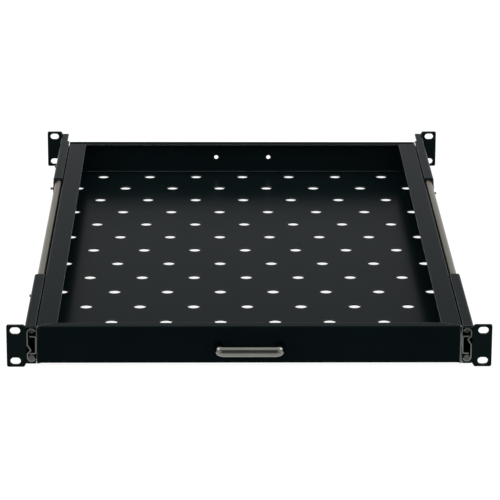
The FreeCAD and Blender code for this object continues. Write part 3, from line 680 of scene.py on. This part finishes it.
class SHELF_OT_bearings(Operator):
    """Balls, their cages and the stops and bumpers at the raceways' ends"""
    bl_idname = "shelf.add_bearings"
    bl_label = "Bearings"

    def execute(self, context):
        details = context.scene.shelf_details
        for side in SIDES:
            node = f"balls_{side}"
            boxes = spans(node, 1, 2)
            radius = (boxes[0][1].z - boxes[0][0].z) / 2
            pattern = start(bpy.ops.mesh.primitive_uv_sphere_add, "ball_pattern", radius=radius,
                            segments=details.ball_sides, ring_count=details.ball_rings)
            balls = copies(pattern, f"bearing_balls_{side}",
                           [Matrix.Translation(middle_of(box)) for box in boxes])
            remove(pattern)
            dress(settle(balls, smooth_angle=60), [node])
            for label in ("ball_cage", "raceway_stops", "slide_bumper"):
                rounded_copy(f"{label}_{side}", details.small_edge)
        return {"FINISHED"}


class SHELF_OT_fasteners(Operator):
    """Cross-recessed screws with their threads"""
    bl_idname = "shelf.add_fasteners"
    bl_label = "Fasteners"

    def execute(self, context):
        for side in SIDES:
            inward = (-side_sign(side), 0, 0)
            for end in ENDS:
                build_screws(f"{end}_bracket_screws_{side}", f"{end}_pan_screws_{side}", inward,
                             BRACKET_SCREW)
            build_screws(f"tray_screws_{side}", f"tray_pan_screws_{side}", inward, TRAY_SCREW)
        build_screws("handle_screws", "handle_pan_screws", (0, 1, 0), HANDLE_SCREW)
        return {"FINISHED"}


class SHELF_OT_stage(Operator):
    """Floor, world, lamps and camera"""
    bl_idname = "shelf.add_stage"
    bl_label = "Stage"

    def execute(self, context):
        studio = context.scene.shelf_studio
        self.add_floor(studio)
        self.light_world(context.scene, studio)
        for name, place, target, size, power in LAMPS:
            self.add_lamp(name, place, target, size, getattr(studio, power))
        self.add_camera(context.scene, studio)
        context.scene.view_settings.view_transform = "Standard"
        return {"FINISHED"}

    @staticmethod
    def seen_rays(finish):
        """1 for rays that show the stage itself: from the camera, a gloss or a glass."""
        camera = finish.add("ShaderNodeLightPath", output="Is Camera Ray")
        glossy = finish.add("ShaderNodeLightPath", output="Is Glossy Ray")
        clear = finish.add("ShaderNodeLightPath", output="Is Transmission Ray")
        return (camera + glossy + clear).maths("MINIMUM", 1.0)

    @staticmethod
    def shaded(finish, lit, least):
        """1, but for reflections less where the studio is unlit, down to the least."""
        glossy = finish.add("ShaderNodeLightPath", output="Is Glossy Ray")
        return 1.0 - glossy * (1.0 - lit) * (1.0 - least)

    def add_floor(self, studio):
        floor = start(bpy.ops.mesh.primitive_plane_add, "floor", size=24,
                      location=(0, 0, SHELF_BASE))
        bpy.ops.object.transform_apply(location=True, rotation=True, scale=True)
        finish = new_finish("pale_floor")
        paper, shade = (finish.add("ShaderNodeBsdfDiffuse", None, {"Color": opaque([lightness] * 3)})
                        for lightness in (studio.floor_paper, studio.floor_shade))
        lit = finish.ramp(finish.part(finish.place(), "Y"), -0.1125, slope=16.0)  # unlit in front
        strength = self.shaded(finish, lit, studio.unlit) * studio.floor_glow
        glow = finish.add("ShaderNodeEmission", None, {"Color": (1, 1, 1, 1), "Strength": strength})
        seen = finish.add("ShaderNodeAddShader", None, {0: shade, 1: glow})
        whole = finish.add("ShaderNodeMixShader", None,
                           {0: self.seen_rays(finish), 1: paper, 2: seen})
        finish.add("ShaderNodeOutputMaterial", None, {"Surface": whole})
        floor.data.materials.append(finish.owner)

    def light_world(self, scene, studio):
        scene.world = bpy.data.worlds.new("studio")
        finish = Finish(scene.world)
        heading = finish.add("ShaderNodeTexCoord")
        behind = finish.part(heading, "Y")
        ahead = finish.clamped(0.0 - behind)
        lit = self.lit_sky(finish, heading, behind)
        ambient, backdrop = (
            finish.add("ShaderNodeBackground", None, {"Color": (1, 1, 1, 1), "Strength": strength})
            for strength in ((ahead * studio.sky_ahead + 1.0) * studio.sky,
                             self.shaded(finish, lit, studio.unlit)))
        whole = finish.add("ShaderNodeMixShader", None,
                           {0: self.seen_rays(finish), 1: ambient, 2: backdrop})
        finish.add("ShaderNodeOutputWorld", None, {"Surface": whole})

    @staticmethod
    def lit_sky(finish, heading, behind):
        """1 beside and behind the shelf, fading out overhead and in front."""
        beside = finish.part(heading, "X").maths("ABSOLUTE")
        return finish.ramp(beside.maths("MAXIMUM", behind), 0.5, slope=3.0)

    @staticmethod
    def add_lamp(name, place, target, size, power):
        lamp = bpy.data.lights.new(name, "AREA")
        lamp.shape = "SQUARE"
        lamp.size = size
        lamp.energy = power
        holder = bpy.data.objects.new(name, lamp)
        holder.location = place
        aim = Vector(target) - Vector(place)
        holder.rotation_euler = aim.to_track_quat("-Z", "Y").to_euler()
        bpy.context.scene.collection.objects.link(holder)

    @staticmethod
    def add_camera(scene, studio):
        camera = bpy.data.cameras.new("camera")
        camera.sensor_width = 36
        camera.lens = studio.lens
        camera.clip_end = 50
        holder = bpy.data.objects.new("camera", camera)
        holder.matrix_world = (Matrix.Translation(studio.camera_place)
                               @ Matrix.Rotation(studio.yaw, 4, "Z")
                               @ Matrix.Rotation(math.pi / 2 - studio.pitch, 4, "X")
                               @ Matrix.Rotation(-studio.roll, 4, "Z"))
        scene.collection.objects.link(holder)
        scene.camera = holder


class SHELF_PT_panel(Panel):
    """Buttons for the shelf's pieces"""
    bl_label = "Rack shelf"
    bl_idname = "SHELF_PT_panel"
    bl_space_type = "VIEW_3D"
    bl_region_type = "UI"
    bl_category = "Rack shelf"

    def draw(self, context):
        for operator in OPERATORS:
            self.layout.operator(operator.bl_idname)
        for name in GROUPS:
            group = getattr(context.scene, name)
            box = self.layout.box()
            for label in group.__annotations__:
                box.prop(group, label)


OPERATORS = (
    SHELF_OT_finishes, SHELF_OT_tray, SHELF_OT_handle, SHELF_OT_brackets, SHELF_OT_slides,
    SHELF_OT_bearings, SHELF_OT_fasteners, SHELF_OT_stage,
)
GROUPS = {"shelf_details": ShelfDetails, "shelf_colours": ShelfColours, "shelf_studio": ShelfStudio}


def register():
    for group in (*GROUPS.values(), *OPERATORS, SHELF_PT_panel):
        bpy.utils.register_class(group)
    for name, group in GROUPS.items():
        setattr(bpy.types.Scene, name, PointerProperty(type=group))


def unregister():
    for name in GROUPS:
        delattr(bpy.types.Scene, name)
    for group in reversed((*GROUPS.values(), *OPERATORS, SHELF_PT_panel)):
        bpy.utils.unregister_class(group)


def main():
    register()
    for operator in OPERATORS:
        getattr(bpy.ops.shelf, operator.bl_idname.split(".")[1])()


if __name__ == "__main__":
    main()
